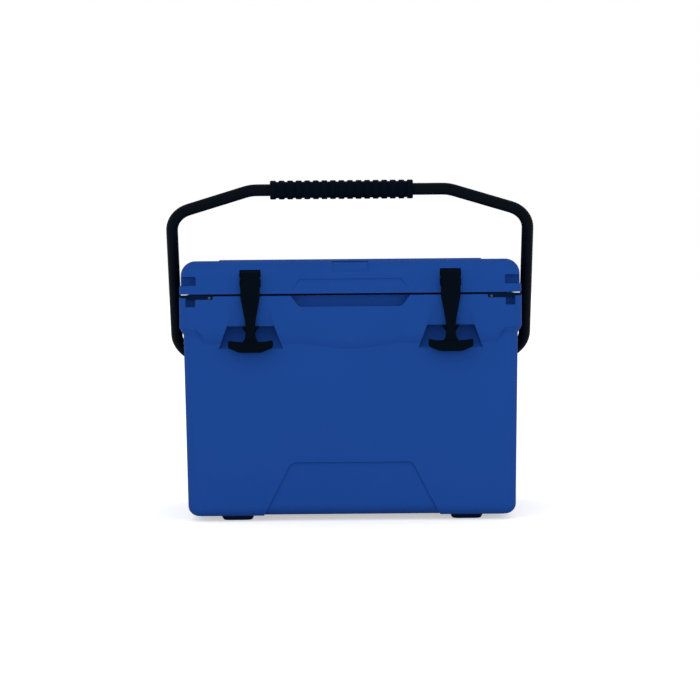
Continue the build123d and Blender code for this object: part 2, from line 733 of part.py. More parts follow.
def latch_neck():
    """The latch's flat neck, which narrows from the head to the stem."""
    head, neck = LATCH_WIDTH / 2, LATCH_NECK / 2
    shoulder_z = LATCH_PIVOT_Z - 2.4 * LATCH_HEAD_R
    curve = Curve() + [
        Line((head, LATCH_PIVOT_Z), (head, shoulder_z)),
        Spline((head, shoulder_z), (neck + 1.6, LATCH_NECK_Z + 8), (neck, LATCH_NECK_Z - 8),
               tangents=((0, -1), (0, -1))),
        Line((neck, LATCH_NECK_Z - 8), (neck, TEE_TOP_Z - TEE_SIDE)),
        Line((neck, TEE_TOP_Z - TEE_SIDE), (0, TEE_TOP_Z - TEE_SIDE)),
        Line((0, TEE_TOP_Z - TEE_SIDE), (0, LATCH_PIVOT_Z)),
        Line((0, LATCH_PIVOT_Z), (head, LATCH_PIVOT_Z)),
    ]
    half = front_prism(make_face(curve), LATCH_FRONT_Y, LATCH_BACK_Y)
    return half + mirrored(half)


def latch_tee():
    """The latch's cross pull."""
    half, chin = TEE_WIDTH / 2, TEE_CHIN / 2
    side_z = TEE_TOP_Z - TEE_SIDE
    left = [(-half, TEE_TOP_Z), (-half, side_z), (-half * 0.68, TEE_BOTTOM_Z + 3.4), (-chin, TEE_BOTTOM_Z)]
    outline = Polygon(*left, *[(-x, z) for x, z in reversed(left)], align=None)
    outline = fillet(outline.vertices().group_by(Axis.Y)[-1], 2.0)
    front_y = FRONT_Y - TEE_THICK
    solid = front_prism(outline, front_y, front_y + TEE_THICK)
    return fillet(solid.faces().sort_by(Axis.Y)[0].edges(), 1.5)


def latch_catch():
    """The wedge behind the neck that hooks under the keeper."""
    top_z = KEEPER_Z - CATCH_GAP
    low_z = top_z - CATCH_HEIGHT
    depth = FRONT_Y + CHANNEL_DEPTH + CATCH_BITE
    outline = trapezoid(LATCH_NECK / 2, CATCH_WIDTH / 2, low_z, top_z)
    wedge = Polygon((LATCH_FRONT_Y + 2, top_z), (depth, top_z), (depth, top_z - 2), (LATCH_BACK_Y, low_z),
                    (LATCH_FRONT_Y + 2, low_z), align=None)
    return front_prism(outline, LATCH_FRONT_Y + 2, depth) & side_prism(wedge, -CATCH_WIDTH, CATCH_WIDTH)


def latch(side):
    """One rubber T-latch, closed."""
    head = along_x(LATCH_HEAD_R, -LATCH_WIDTH / 2, LATCH_WIDTH / 2, LATCH_PIVOT_Y, LATCH_PIVOT_Z)
    solid = head + latch_neck() + latch_tee() + latch_catch()
    solid -= along_x(PIN_R + PIN_CLEAR, -LATCH_WIDTH, LATCH_WIDTH, LATCH_PIVOT_Y, LATCH_PIVOT_Z)
    return Pos(side * LATCH_X, 0, 0) * solid


def lock_plate():
    """The right-hand angle plate on the tub's corner, bored for a padlock."""
    outer = slab(BAND_WIDTH - 0.4, BAND_DEPTH - 0.4, BAND_CORNER, 0, RIM_Z + LOCK_PLATE_PROUD)
    plate = lock_seat(-0.2) & outer
    plate -= lock_bore(0, LID_TOP_Z)
    return plate - lock_plate_screw()


def lock_plate_screw():
    """The right-hand plate's screw, with a domed head on the front flange."""
    z = RIM_Z - LOCK_FLANGE / 2
    shank = front_prism(Pos(LOCK_SCREW_X, z) * Circle(LOCK_SCREW_R / 2), FRONT_Y, FRONT_Y + LOCK_SCREW_LENGTH)
    head = front_prism(Pos(LOCK_SCREW_X, z) * Circle(LOCK_SCREW_R), FRONT_Y - 0.4, FRONT_Y + 1.0)
    return shank + head


def lock_plate_screws():
    """Both lock plates' screws."""
    return Part() + both_sides(lock_plate_screw())


# ---------------------------------------------------------------- bail handle

def bail_plane():
    """The plane of the leaning bail: X across, Y up the legs from the pivots."""
    lean = radians(BAIL_LEAN)
    return Plane((0, 0, PIVOT_Z), x_dir=(1, 0, 0), z_dir=(0, -cos(lean), -sin(lean)))


def bail_tube(radius):
    """A round rod of the given radius along the whole bail."""
    right = [(STUB_END_X, 0), (LEG_X, 0), (LEG_TOP_X, LEG_TOP), (SHOULDER_X, BAIL_RISE)]
    points = right + [(-x, y) for x, y in reversed(right)]
    bends = [PIVOT_BEND, LEG_BEND, SHOULDER_BEND]
    path = bail_plane() * FilletPolyline(*points, radius=bends + bends[::-1])
    return sweep(Plane(path @ 0, z_dir=path % 0) * Circle(radius), path)


def handle_tube():
    """The bent tube of the bail."""
    return bail_tube(TUBE_R) - bail_tube(TUBE_R - TUBE_WALL)


def handle_grip():
    """The ribbed rubber grip on the bail's straight top."""
    length = (GRIP_RIBS - 1) * GRIP_PITCH + GRIP_RIB
    start = GRIP_SHIFT - length / 2
    lean = radians(BAIL_LEAN)
    y, z = -BAIL_RISE * sin(lean), PIVOT_Z + BAIL_RISE * cos(lean)
    solid = along_x(GRIP_GROOVE_R, start, start + length, y, z)
    for i in range(GRIP_RIBS):
        low_x = start + i * GRIP_PITCH
        solid += along_x(GRIP_R, low_x, low_x + GRIP_RIB, y, z)
    return solid - along_x(TUBE_R, start, start + length, y, z)


def handle_bush():
    """The right-hand flanged bush that the bail's end turns in."""
    body = along_x(BUSH_R, STUB_END_X - 1, DISH_FLOOR_X, 0, PIVOT_Z)
    flange = along_x(BUSH_FLANGE_R, DISH_FLOOR_X, DISH_FLOOR_X + BUSH_FLANGE, 0, PIVOT_Z)
    bore = along_x(TUBE_R + BUSH_CLEAR, STUB_END_X - 1, DISH_FLOOR_X + BUSH_FLANGE, 0, PIVOT_Z)
    return body + flange - bore


# ---------------------------------------------------------------- feet and drain

def foot(x, y):
    """One tapered rubber foot, sunk and bored for its screw."""
    solid = loft([Pos(x, y, 0) * RectangleRounded(FOOT_BOTTOM, FOOT_BOTTOM, FOOT_CORNER),
                  Pos(x, y, FOOT_HEIGHT) * RectangleRounded(FOOT_TOP, FOOT_TOP, FOOT_CORNER)], ruled=True)
    solid = fillet(solid.edges().group_by(Axis.Z)[0], FOOT_ROUND)
    solid -= upright(FOOT_SINK_R, x, y, 0, FOOT_SINK)
    return solid - upright(FOOT_BORE_R, x, y, 0, FOOT_HEIGHT)


def foot_screws():
    """The four screws that hold the feet."""
    screws = Part()
    for x, y in foot_places():
        head = upright(SCREW_HEAD_R, x, y, FOOT_SINK - SCREW_HEAD, FOOT_SINK)
        screws += head + upright(FOOT_BORE_R, x, y, FOOT_SINK, FOOT_HEIGHT + SCREW_GRIP)
    return screws


def drain_bush():
    """The flanged tube that lines the drain."""
    outer_x = half_width_at(DRAIN_Z) - DRAIN_DISH
    inner_x = MOUTH_WIDTH / 2 - (RIM_Z - DRAIN_Z) * tan(radians(LINER_DRAFT)) + 0.5
    body = along_x(DRAIN_BUSH_R, inner_x, outer_x, 0, DRAIN_Z)
    flange = along_x(DRAIN_FLANGE_R, outer_x, outer_x + DRAIN_FLANGE, 0, DRAIN_Z)
    return body + flange - along_x(DRAIN_R, inner_x, outer_x + DRAIN_FLANGE, 0, DRAIN_Z)


def drain_bung():
    """The push-in rubber bung, seated, with its pull knob in the dish."""
    seat_x = half_width_at(DRAIN_Z) - DRAIN_DISH + DRAIN_FLANGE
    axis = Plane((seat_x, 0, DRAIN_Z), x_dir=(0, 1, 0), z_dir=(-1, 0, 0))
    stopper = axis * Cone(DRAIN_R - BUNG_CLEAR, BUNG_TIP_R, BUNG_LENGTH, align=FROM_BASE)
    head = along_x(BUNG_HEAD_R, seat_x + BUNG_CLEAR, seat_x + BUNG_CLEAR + BUNG_HEAD, 0, DRAIN_Z)
    joined = along_x(BUNG_TIP_R, seat_x - 1, seat_x + 1, 0, DRAIN_Z)
    head = fillet(head.edges().group_by(Axis.X)[-1], 1.2)
    return stopper + joined + head


# ---------------------------------------------------------------- the whole carrier

def nodes():
    """Every node's name with its shape."""
    whole = {
        "tub_shell": tub_shell(),
        "tub_foam": tub_foam(),
        "tub_liner": tub_liner(),
        "lid_shell": lid_shell(),
        "lid_foam": lid_foam(),
        "lid_liner": lid_liner(),
        "lid_gasket": lid_gasket(),
        "hinge_rod": hinge_rod(),
        "hinge_rod_caps": hinge_rod_caps(),
        "lock_plate_screws": lock_plate_screws(),
        "handle_tube": handle_tube(),
        "handle_grip": handle_grip(),
        "foot_screws": foot_screws(),
        "drain_bush": drain_bush(),
        "drain_bung": drain_bung(),
    }
    for name, side in (("left", -1), ("right", 1)):
        whole[name + "_latch"] = latch(side)
        whole[name + "_latch_pin"] = latch_pin(side)
    for name, shape in (("lock_plate", lock_plate()), ("handle_bush", handle_bush())):
        whole["right_" + name] = shape
        whole["left_" + name] = mirrored(shape)
    names = ("front_left_foot", "front_right_foot", "back_left_foot", "back_right_foot")
    for name, (x, y) in zip(names, foot_places()):
        whole[name] = foot(x, y)
    return whole


if __name__ == "__main__":
    os.makedirs("parts", exist_ok=True)
    for node, shape in nodes().items():
        export_step(shape, f"parts/{node}.step")
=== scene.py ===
"""Dresses the vaccine carrier: its finishes, its rubber and fastener pieces, the studio and the camera.

Everything stands in metres in the part's own frame: X across, -Y the front, +Z up. The rigid shells,
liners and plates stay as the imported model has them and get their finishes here. The rubber latches,
the ribbed grip and the screw heads are modelled here, each over the solid it stands for.
"""

import logging
from collections.abc import Callable, Iterable
from dataclasses import dataclass, field, replace
from enum import Enum
from math import cos, pi, radians, sin

import bpy
from mathutils import Matrix, Vector

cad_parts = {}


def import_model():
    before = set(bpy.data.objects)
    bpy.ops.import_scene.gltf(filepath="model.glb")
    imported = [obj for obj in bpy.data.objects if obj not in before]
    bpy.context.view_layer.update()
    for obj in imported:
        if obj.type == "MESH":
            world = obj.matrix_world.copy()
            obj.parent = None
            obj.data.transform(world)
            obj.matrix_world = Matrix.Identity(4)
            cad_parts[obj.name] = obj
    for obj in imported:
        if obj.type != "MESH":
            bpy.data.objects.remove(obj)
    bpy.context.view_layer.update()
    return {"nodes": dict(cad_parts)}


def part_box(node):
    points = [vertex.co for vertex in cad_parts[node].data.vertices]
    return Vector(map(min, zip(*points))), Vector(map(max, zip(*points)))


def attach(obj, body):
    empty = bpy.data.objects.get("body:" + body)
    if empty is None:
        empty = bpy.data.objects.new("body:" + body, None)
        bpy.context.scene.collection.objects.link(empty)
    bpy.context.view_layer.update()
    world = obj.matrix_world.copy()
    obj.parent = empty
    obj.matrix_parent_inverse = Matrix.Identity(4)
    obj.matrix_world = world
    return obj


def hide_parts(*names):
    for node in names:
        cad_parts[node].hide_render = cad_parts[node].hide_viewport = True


LOG = logging.getLogger("vaccine_carrier")
MM = 0.001
# Metres within which two places are one.
SAME_PLACE = 1e-5
# Millimetres that rounding may add to a length.
ROUNDING = 1e-9
# The least upward part of a face's normal for a face that looks up.
LOOKS_UP = 0.9
WHITE = (1.0, 1.0, 1.0, 1.0)
Point = tuple[float, float, float]
Table = tuple[tuple[float, float], ...]


class Side(Enum):
    """The two ends of the carrier, seen from the front."""

    LEFT = -1
    RIGHT = 1

    @property
    def word(self) -> str:
        """The side's name as the nodes spell it."""
        return self.name.lower()


class Body(Enum):
    """The moving bodies that pieces ride on."""

    TUB = "tub"
    LID = "lid"
    LEFT_LATCH = "left_latch"
    RIGHT_LATCH = "right_latch"
    HANDLE = "handle"
    DRAIN_BUNG = "drain_bung"


# ---------------------------------------------------------------- colours and material nodes


def linear(hex_colour: str) -> tuple[float, float, float, float]:
    """Turns an sRGB hex colour to the linear values that a shader takes.

    Args:
        hex_colour: Six hex digits, such as "1F4792".

    Returns:
        Linear red, green, blue and an alpha of one.
    """
    parts = [int(hex_colour[i : i + 2], 16) / 255 for i in (0, 2, 4)]
    shades = [c / 12.92 if c <= 0.04045 else ((c + 0.055) / 1.055) ** 2.4 for c in parts]
    return (*shades, 1.0)


def add_node(
    tree: bpy.types.NodeTree,
    kind: str,
    settings: dict[str, object] | None = None,
    links: dict[str, bpy.types.NodeSocket] | None = None,
) -> bpy.types.Node:
    """Adds one node with its settings and its incoming links.

    Args:
        tree: The node tree that takes the node.
        kind: The node's type name.
        settings: Values by the name of an input, or of a property of the node itself.
        links: Source sockets by the name of the input that each feeds.

    Returns:
        The new node.
    """
    node = tree.nodes.new(kind)
    for name, value in (settings or {}).items():
        if name in node.inputs:
            node.inputs[name].default_value = value
        else:
            setattr(node, name, value)
    for name, source in (links or {}).items():
        tree.links.new(source, node.inputs[name])
    return node


def blank_material(name: str) -> tuple[bpy.types.Material, bpy.types.NodeTree]:
    """Makes a material with an empty node tree.

    Args:
        name: The material's name.

    Returns:
        The material and its node tree.
    """
    material = bpy.data.materials.new(name)
    material.use_nodes = True
    material.node_tree.nodes.clear()
    return material, material.node_tree


def two_tone(
    tree: bpy.types.NodeTree, mask: bpy.types.NodeSocket, first: str, second: str
) -> bpy.types.NodeSocket:
    """Mixes two colours by a mask.

    Args:
        tree: The node tree that takes the node.
        mask: Nought for the first colour and one for the second.
        first: First colour, sRGB hex.
        second: Second colour, sRGB hex.

    Returns:
        The socket of the mixed colour.
    """
    shade = add_node(tree, "ShaderNodeMix", {"data_type": "RGBA"}, {"Factor": mask})
    for socket, colour in zip([s for s in shade.inputs if s.type == "RGBA"], (first, second)):
        socket.default_value = linear(colour)
    return next(s for s in shade.outputs if s.type == "RGBA")


@dataclass(frozen=True)
class Moulding:
    """A moulded finish: one body colour, slow drift in its shade, and a fine grain from the mould.

    Attributes:
        name: What the real material is and how it was made.
        colour: Body colour, sRGB hex.
        drift: Colour that the slow drift leans to, sRGB hex.
        roughness: Roughness of the skin.
        gloss: Specular level, lower where the skin scatters light.
        ior: Index of refraction of the material.
        grain_mm: Spacing of the mould's grain.
        grain_depth_mm: Height of the grain.
        drift_mm: Size of the patches that drift in shade.
        edge_mm: Radius to which the mould breaks sharp edges.
        rough_spread: How far the grain varies the roughness, either way.
        grain_strength: Share of the grain's height that is shaded.
        edge_samples: Rays that the broken edges take.
    """

    name: str
    colour: str
    drift: str
    roughness: float
    gloss: float = 0.5
    ior: float = 1.5
    grain_mm: float = 1.0
    grain_depth_mm: float = 0.03
    drift_mm: float = 120.0
    edge_mm: float = 0.5
    rough_spread: float = 0.05
    grain_strength: float = 0.6
    edge_samples: int = 6

    def material(self) -> bpy.types.Material:
        """Builds the finish on Object coordinates.

        Returns:
            The finished material.
        """
        material, tree = blank_material(self.name)
        place = add_node(tree, "ShaderNodeTexCoord").outputs["Object"]
        patches = add_node(
            tree,
            "ShaderNodeTexNoise",
            {"Scale": 1 / (self.drift_mm * MM), "Detail": 2.0, "Roughness": 0.4},
            {"Vector": place},
        )
        shade = two_tone(tree, patches.outputs["Fac"], self.colour, self.drift)
        grain = add_node(
            tree,
            "ShaderNodeTexNoise",
            {"Scale": 1 / (self.grain_mm * MM), "Detail": 3.0, "Roughness": 0.6},
            {"Vector": place},
        )
        rough = add_node(
            tree,
            "ShaderNodeMapRange",
            {"To Min": self.roughness - self.rough_spread, "To Max": self.roughness + self.rough_spread},
            {"Value": grain.outputs["Fac"]},
        )
        edge = add_node(
            tree, "ShaderNodeBevel", {"samples": self.edge_samples, "Radius": self.edge_mm * MM}
        )
        bump = add_node(
            tree,
            "ShaderNodeBump",
            {"Strength": self.grain_strength, "Distance": self.grain_depth_mm * MM},
            {"Height": grain.outputs["Fac"], "Normal": edge.outputs["Normal"]},
        )
        skin = add_node(
            tree,
            "ShaderNodeBsdfPrincipled",
            {"IOR": self.ior, "Specular IOR Level": self.gloss},
            {
                "Base Color": shade,
                "Roughness": rough.outputs["Result"],
                "Normal": bump.outputs["Normal"],
            },
        )
        add_node(tree, "ShaderNodeOutputMaterial", links={"Surface": skin.outputs["BSDF"]})
        return material


@dataclass(frozen=True)
class BrightSteel:
    """Drawn, turned or plated steel: a bare metal with fine lines along X.

    Attributes:
        name: What the real material is and how it was made.
        colour: Metal colour, sRGB hex.
        roughness: Roughness of the drawn surface.
        line_mm: Spacing of the drawing lines.
        line_depth_mm: Height of the lines.
        line_strength: Share of their height that is shaded.
        squeeze: Scale of the lines along X against their spacing.
        smoother: How much smoother than the roughness a line's crest is.
        rougher: How much rougher its valley is.
    """

    name: str = "drawn_stainless_steel"
    colour: str = "B9BCC0"
    roughness: float = 0.28
    line_mm: float = 0.5
    line_depth_mm: float = 0.01
    line_strength: float = 0.3
    squeeze: float = 0.04
    smoother: float = 0.08
    rougher: float = 0.12

    def material(self) -> bpy.types.Material:
        """Builds the finish on Object coordinates, stretched along the drawing direction.

        Returns:
            The finished material.
        """
        material, tree = blank_material(self.name)
        place = add_node(tree, "ShaderNodeTexCoord").outputs["Object"]
        stretch = add_node(
            tree, "ShaderNodeMapping", {"Scale": (self.squeeze, 1.0, 1.0)}, {"Vector": place}
        )
        lines = add_node(
            tree,
            "ShaderNodeTexNoise",
            {"Scale": 1 / (self.line_mm * MM), "Detail": 2.0},
            {"Vector": stretch.outputs["Vector"]},
        )
        rough = add_node(
            tree,
            "ShaderNodeMapRange",
            {"To Min": self.roughness - self.smoother, "To Max": self.roughness + self.rougher},
            {"Value": lines.outputs["Fac"]},
        )
        bump = add_node(
            tree,
            "ShaderNodeBump",
            {"Strength": self.line_strength, "Distance": self.line_depth_mm * MM},
            {"Height": lines.outputs["Fac"]},
        )
        metal = add_node(
            tree,
            "ShaderNodeBsdfPrincipled",
            {"Base Color": linear(self.colour), "Metallic": 1.0},
            {"Roughness": rough.outputs["Result"], "Normal": bump.outputs["Normal"]},
        )
        add_node(tree, "ShaderNodeOutputMaterial", links={"Surface": metal.outputs["BSDF"]})
        return material


@dataclass(frozen=True)
class CutFoam:
    """Poured polyurethane foam: pale yellow with open cells, seen only where a shell is cut away.

    Attributes:
        name: What the real material is and how it was made.
        colour: Colour of the cell walls, sRGB hex.
        painted_cell_shade: Painted shade in the depth of a cell, the foam colour darkened where the pit
            sinks, sRGB hex.
        cell_mm: Size of a cell, drawn coarser than the real 0.4 mm so that it shows.
        cell_depth_mm: Depth of a cell.
        cell_strength: Share of that depth that is shaded.
        roughness: Roughness of the cell walls.
        ior: Index of refraction of the foam.
        gloss: Specular level, low because the cells scatter light.
    """

    name: str = "poured_polyurethane_foam"
    colour: str = "E8DCA8"
    painted_cell_shade: str = "C9B878"
    cell_mm: float = 1.6
    cell_depth_mm: float = 0.4
    cell_strength: float = 0.8
    roughness: float = 0.9
    ior: float = 1.45
    gloss: float = 0.2

    def material(self) -> bpy.types.Material:
        """Builds the finish from a cell pattern.

        Returns:
            The finished material.
        """
        material, tree = blank_material(self.name)
        place = add_node(tree, "ShaderNodeTexCoord").outputs["Object"]
        cells = add_node(
            tree, "ShaderNodeTexVoronoi", {"Scale": 1 / (self.cell_mm * MM)}, {"Vector": place}
        )
        # Painted shade: each cell darkens towards its middle, where its pit sinks deepest in the bump.
        shade = two_tone(tree, cells.outputs["Distance"], self.painted_cell_shade, self.colour)
        bump = add_node(
            tree,
            "ShaderNodeBump",
            {"Strength": self.cell_strength, "Distance": self.cell_depth_mm * MM},
            {"Height": cells.outputs["Distance"]},
        )
        foam = add_node(
            tree,
            "ShaderNodeBsdfPrincipled",
            {"Roughness": self.roughness, "IOR": self.ior, "Specular IOR Level": self.gloss},
            {"Base Color": shade, "Normal": bump.outputs["Normal"]},
        )
        add_node(tree, "ShaderNodeOutputMaterial", links={"Surface": foam.outputs["BSDF"]})
        return material


# Rotationally moulded polyethylene: waxy, matt, with a faint orange peel and broken edges.
BLUE_POLYETHYLENE = Moulding(
    "moulded_blue_polyethylene", "1A4591", "1C4896", 0.68, gloss=0.03, ior=1.51, grain_mm=1.1
)
# The same plastic unpigmented: white, a little smoother inside, where food and vials lie.
WHITE_POLYETHYLENE = Moulding(
    "moulded_white_polyethylene", "DDE1E2", "E4E6E6", 0.42, gloss=0.35, ior=1.51, grain_mm=1.4,
    grain_depth_mm=0.02,
)
# Compression-moulded EPDM: near black, dull, with a fine dry skin.
BLACK_EPDM = Moulding(
    "moulded_black_epdm", "010711", "020A15", 0.6, gloss=0.018, ior=1.52, grain_mm=0.7, grain_depth_mm=0.02,
    drift_mm=30.0,
)
# Softer foot rubber with a blue-grey bloom.
FOOT_RUBBER = Moulding(
    "moulded_foot_rubber", "071833", "091B38", 0.65, gloss=0.02, ior=1.52, grain_mm=0.8, drift_mm=30.0
)
# Extruded cellular EPDM: black and dull.
BLACK_SEAL = Moulding(
    "extruded_black_seal", "04060C", "070A12", 0.7, gloss=0.03, ior=1.52, grain_mm=0.6, grain_depth_mm=0.05,
    drift_mm=25.0,
)
# Injection-moulded nylon 6: black with a slight silk.
BLACK_NYLON = Moulding(
    "moulded_black_nylon", "06090E", "090C12", 0.4, gloss=0.15, ior=1.53, grain_mm=0.6,
    grain_depth_mm=0.015, drift_mm=30.0,
)
# Turned steel pin under black oxide: dark and close to matt.
BLACKED_STEEL = Moulding(
    "black_oxide_steel_pin", "07090D", "0B0E13", 0.45, gloss=0.2, ior=1.8, grain_mm=0.4,
    grain_depth_mm=0.005, drift_mm=10.0, edge_mm=0.2,
)
# Satin powder coat on an aluminium tube: near black with a soft orange peel.
POWDER_COAT = Moulding(
    "powder_coated_aluminium_tube", "01060F", "020812", 0.55, gloss=0.035, ior=1.52, grain_mm=1.3,
    drift_mm=60.0, edge_mm=0.2,
)
# Baked enamel on pressed steel: dark blue-black, smooth.
LOCK_ENAMEL = Moulding(
    "enamelled_pressed_steel", "06142C", "081832", 0.65, gloss=0.012, ior=1.52, grain_mm=0.8,
    grain_depth_mm=0.01, drift_mm=20.0, edge_mm=0.3,
)
# Zinc-plated steel gone dull.
DULL_ZINC = BrightSteel("dull_zinc_plated_screw", "3A4A5A", 0.45)


# ---------------------------------------------------------------- modelling by operators


def let_go() -> None:
    """Leaves edit mode and deselects everything."""
    if bpy.context.object and bpy.context.object.mode != "OBJECT":
        bpy.ops.object.mode_set(mode="OBJECT")
    bpy.ops.object.select_all(action="DESELECT")


def hold(piece: bpy.types.Object) -> None:
    """Makes a piece the only selected and the active one."""
    let_go()
    piece.select_set(True)
    bpy.context.view_layer.objects.active = piece


def settle(piece: bpy.types.Object) -> None:
    """Applies a piece's place, turn and size to its mesh."""
    hold(piece)
    bpy.ops.object.transform_apply(location=True, rotation=True, scale=True)


def block(low: Point, high: Point) -> bpy.types.Object:
    """Adds a cube between two corners, given in millimetres.

    Args:
        low: The lowest corner.
        high: The highest corner.

    Returns:
        The new object, with its place in its mesh.
    """
    middle = [(a + b) / 2 * MM for a, b in zip(low, high)]
    let_go()
    bpy.ops.mesh.primitive_cube_add(size=1, location=middle)
    piece = bpy.context.object
    piece.scale = [(b - a) * MM for a, b in zip(low, high)]
    settle(piece)
    return piece


def rod(radius: float, middle: Point, length: float, turn: Point, sides: int = 48) -> bpy.types.Object:
    """Adds a cylinder, with sizes in millimetres.

    Args:
        radius: Its radius.
        middle: The place of its middle.
        length: Its length.
        turn: Its turn about X, Y and Z, in degrees, from upright.
        sides: How many sides it has.

    Returns:
        The new object, with its place in its mesh.
    """
    let_go()
    bpy.ops.mesh.primitive_cylinder_add(
        vertices=sides,
        radius=radius * MM,
        depth=length * MM,
        location=[v * MM for v in middle],
        rotation=[radians(v) for v in turn],
    )
    piece = bpy.context.object
    settle(piece)
    return piece


def clear_pick(piece: bpy.types.Object, kind: str) -> None:
    """Sets what a piece's mesh is picked by and picks nothing, ending in object mode.

    Args:
        piece: The mesh object.
        kind: "VERT" or "FACE".
    """
    hold(piece)
    bpy.ops.object.mode_set(mode="EDIT")
    bpy.ops.mesh.select_mode(type=kind)
    bpy.ops.mesh.select_all(action="DESELECT")
    bpy.ops.object.mode_set(mode="OBJECT")


def pick_faces(piece: bpy.types.Object, wanted: Callable[[bpy.types.MeshPolygon], bool]) -> None:
    """Enters edit mode with only the wanted faces selected.

    Args:
        piece: The mesh object.
        wanted: Says of a face whether it is wanted.
    """
    clear_pick(piece, "FACE")
    for face in piece.data.polygons:
        face.select = bool(wanted(face))
    bpy.ops.object.mode_set(mode="EDIT")


def pick_points(piece: bpy.types.Object, wanted: Callable[[Vector], bool]) -> None:
    """Enters edit mode with only the wanted points selected.

    Args:
        piece: The mesh object.
        wanted: Says of a point's place, in metres, whether it is wanted.
    """
    clear_pick(piece, "VERT")
    for point in piece.data.vertices:
        point.select = bool(wanted(point.co))
    bpy.ops.object.mode_set(mode="EDIT")


def slice_across(piece: bpy.types.Object, places: Iterable[Point], normal: Point) -> None:
    """Adds a cut through a piece at each place, which leaves its shape as it is.

    Args:
        piece: The mesh object.
        places: A point on each cut, in millimetres.
        normal: The way the cuts face.
    """
    hold(piece)
    bpy.ops.object.mode_set(mode="EDIT")
    for place in places:
        bpy.ops.mesh.select_all(action="SELECT")
        bpy.ops.mesh.bisect(plane_co=[v * MM for v in place], plane_no=normal)
    bpy.ops.object.mode_set(mode="OBJECT")


def between(table: Table, place: float) -> float:
    """Reads a value off a table of places and values, straight between its entries.

    Args:
        table: Places in rising order, each with its value.
        place: Where to read it.

    Returns:
        The value there.
    """
    for (low, first), (high, last) in zip(table, table[1:]):
        if place <= high + ROUNDING:
            return first + (last - first) * (place - low) / (high - low)
    return table[-1][1]


def soften(piece: bpy.types.Object, radius: float, segments: int = 3, angle: float = 30.0) -> None:
    """Rounds a piece's sharp edges with an applied bevel.

    Args:
        piece: The mesh object.
        radius: The rounding, in millimetres.
        segments: How many facets it takes.
        angle: The least angle, in degrees, that counts as sharp.
    """
    hold(piece)
    bevel = piece.modifiers.new("round", "BEVEL")
    bevel.width = radius * MM
    bevel.segments = segments
    bevel.limit_method = "ANGLE"
    bevel.angle_limit = radians(angle)
    bevel.harden_normals = False
    bpy.ops.object.modifier_apply(modifier=bevel.name)


def combine(piece: bpy.types.Object, tools: Iterable[bpy.types.Object], way: str) -> None:
    """Joins or cuts a piece with others by an exact boolean, and removes them.

    Args:
        piece: The mesh object that is kept.
        tools: The others.
        way: "UNION" or "DIFFERENCE".
    """
    for tool in tools:
        hold(piece)
        cut = piece.modifiers.new("combine", "BOOLEAN")
        cut.operation = way
        cut.solver = "EXACT"
        cut.object = tool
        bpy.ops.object.modifier_apply(modifier=cut.name)
        bpy.data.objects.remove(tool)


def finish_piece(
    piece: bpy.types.Object,
    name: str,
    material: bpy.types.Material,
    body: Body,
    stands_for: Iterable[str] = (),
    smooth_angle: float = 35.0,
) -> None:
    """Names, shades, dresses and seats a new piece.

    Args:
        piece: The finished mesh.
        name: Its name.
        material: Its finish.
        body: The body that it rides on.
        stands_for: The nodes that it replaces.
        smooth_angle: The greatest angle, in degrees, that is shaded smooth.
    """
    settle(piece)
    bpy.ops.object.shade_smooth_by_angle(angle=radians(smooth_angle))
    piece.name = name
    piece.data.name = name
    piece.data.materials.clear()
    piece.data.materials.append(material)
    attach(piece, body.value)
    if stands_for:
        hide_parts(*stands_for)
    LOG.info("%s: %d faces", name, len(piece.data.polygons))


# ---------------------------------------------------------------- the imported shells, liners and plates


@dataclass
class PackedParts:
    """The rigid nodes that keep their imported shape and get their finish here.

    Attributes:
        merge_mm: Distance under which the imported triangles' corners are one corner.
        crease: Angle, in degrees, past which an edge stays sharp.
        finishes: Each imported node's finish.
    """

    merge_mm: float = 0.002
    crease: float = 28.0
    finishes: dict[str, Moulding | BrightSteel | CutFoam] = field(
        default_factory=lambda: {
            "tub_shell": BLUE_POLYETHYLENE,
            "lid_shell": BLUE_POLYETHYLENE,
            "tub_liner": WHITE_POLYETHYLENE,
            "lid_liner": WHITE_POLYETHYLENE,
            "tub_foam": CutFoam(),
            "lid_foam": CutFoam(),
            "lid_gasket": BLACK_SEAL,
            "hinge_rod": BrightSteel(),
            "hinge_rod_caps": BLACK_NYLON,
            "left_latch_pin": BLACKED_STEEL,
            "right_latch_pin": BLACKED_STEEL,
            "left_lock_plate": LOCK_ENAMEL,
            "right_lock_plate": LOCK_ENAMEL,
            "lock_plate_screws": DULL_ZINC,
            "foot_screws": BrightSteel(),
            "left_handle_bush": BLACK_NYLON,
            "right_handle_bush": BLACK_NYLON,
            "handle_tube": POWDER_COAT,
            "front_left_foot": FOOT_RUBBER,
            "front_right_foot": FOOT_RUBBER,
            "back_left_foot": FOOT_RUBBER,
            "back_right_foot": FOOT_RUBBER,
            "drain_bush": BLACK_NYLON,
            "drain_bung": BLACK_EPDM,
            "left_latch": BLACK_EPDM,
            "right_latch": BLACK_EPDM,
            "handle_grip": BLACK_EPDM,
        }
    )

    def build(self, nodes: dict[str, bpy.types.Object]) -> None:
        """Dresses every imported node.

        Args:
            nodes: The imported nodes' objects by name.
        """
        made: dict[str, bpy.types.Material] = {}
        for name, finish in self.finishes.items():
            if finish.name not in made:
                made[finish.name] = finish.material()
            self.dress(nodes[name], made[finish.name])
            LOG.info("%s: %s", name, finish.name)

    def dress(self, node: bpy.types.Object, material: bpy.types.Material) -> None:
        """Gives one node its finish and smooth shading between its creases.

        Args:
            node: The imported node's object.
            material: Its finish.
        """
        node.data.materials.clear()
        node.data.materials.append(material)
        node.data.polygons.foreach_set("use_smooth", [True] * len(node.data.polygons))
        merge = node.modifiers.new("merge", "WELD")
        merge.merge_threshold = self.merge_mm * MM
        split = node.modifiers.new("crease", "EDGE_SPLIT")
        split.split_angle = radians(self.crease)
        split.use_edge_sharp = False
        even = node.modifiers.new("even", "WEIGHTED_NORMAL")
        even.mode = "FACE_AREA"
        even.weight = 100


# ---------------------------------------------------------------- rubber and fastener pieces


